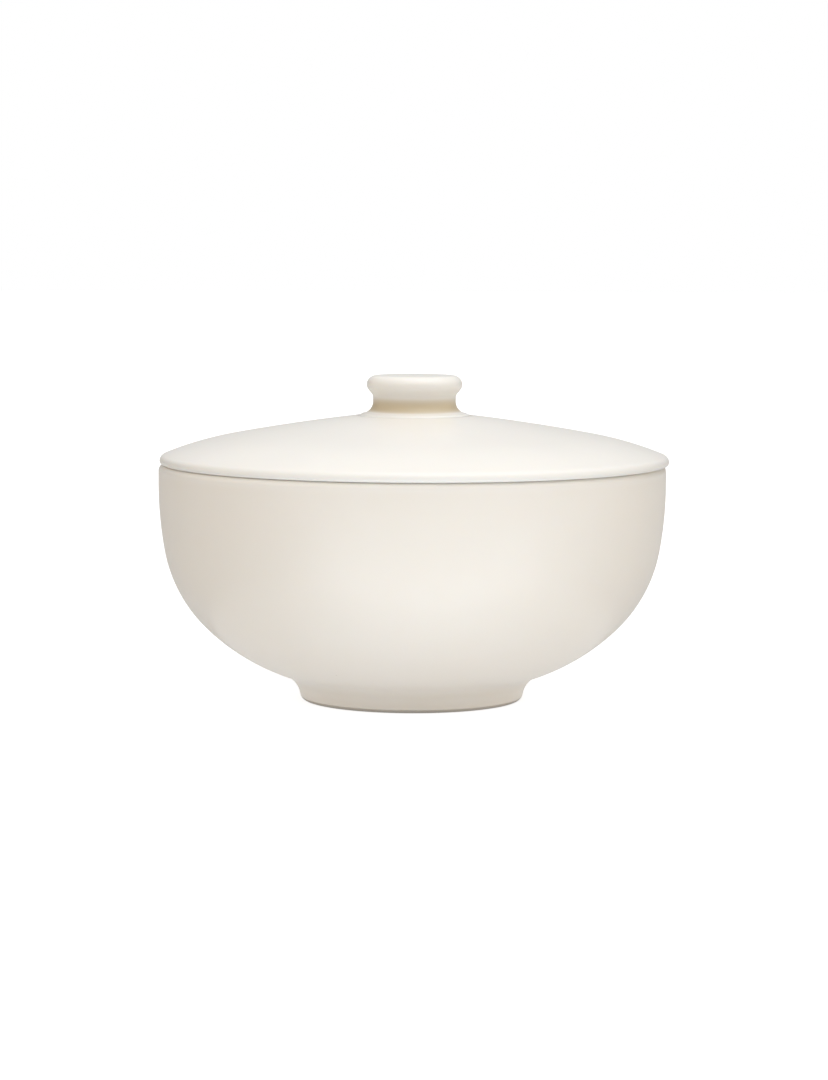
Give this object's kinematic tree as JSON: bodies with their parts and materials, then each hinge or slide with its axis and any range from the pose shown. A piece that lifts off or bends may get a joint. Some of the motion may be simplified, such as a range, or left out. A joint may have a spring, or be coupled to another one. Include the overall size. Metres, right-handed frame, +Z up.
{
  "type": "lidded bowl",
  "caption": "Round lidded porcelain bowl on a low foot ring, with a shallow domed lid that lifts off by a flat round knob.",
  "frame": {"origin": "centre of the foot ring's underside, on the surface that the bowl stands on", "axes": "+Z up along the axis that every piece is turned about; +X and +Y are any two level directions"},
  "size_m": [0.1506, 0.1506, 0.0964],
  "materials": {
    "glaze": "clear gloss glaze over warm white porcelain"
  },
  "bodies": {
    "bowl": {"bowl": "glaze"},
    "lid": {"lid": "glaze", "knob": "glaze"}
  },
  "joints": [
    {"name": "lid_lift", "type": "slide", "parent": "bowl", "child": "lid", "axis": [0, 0, 1], "range_m": [0, 0.1]}
  ]
}
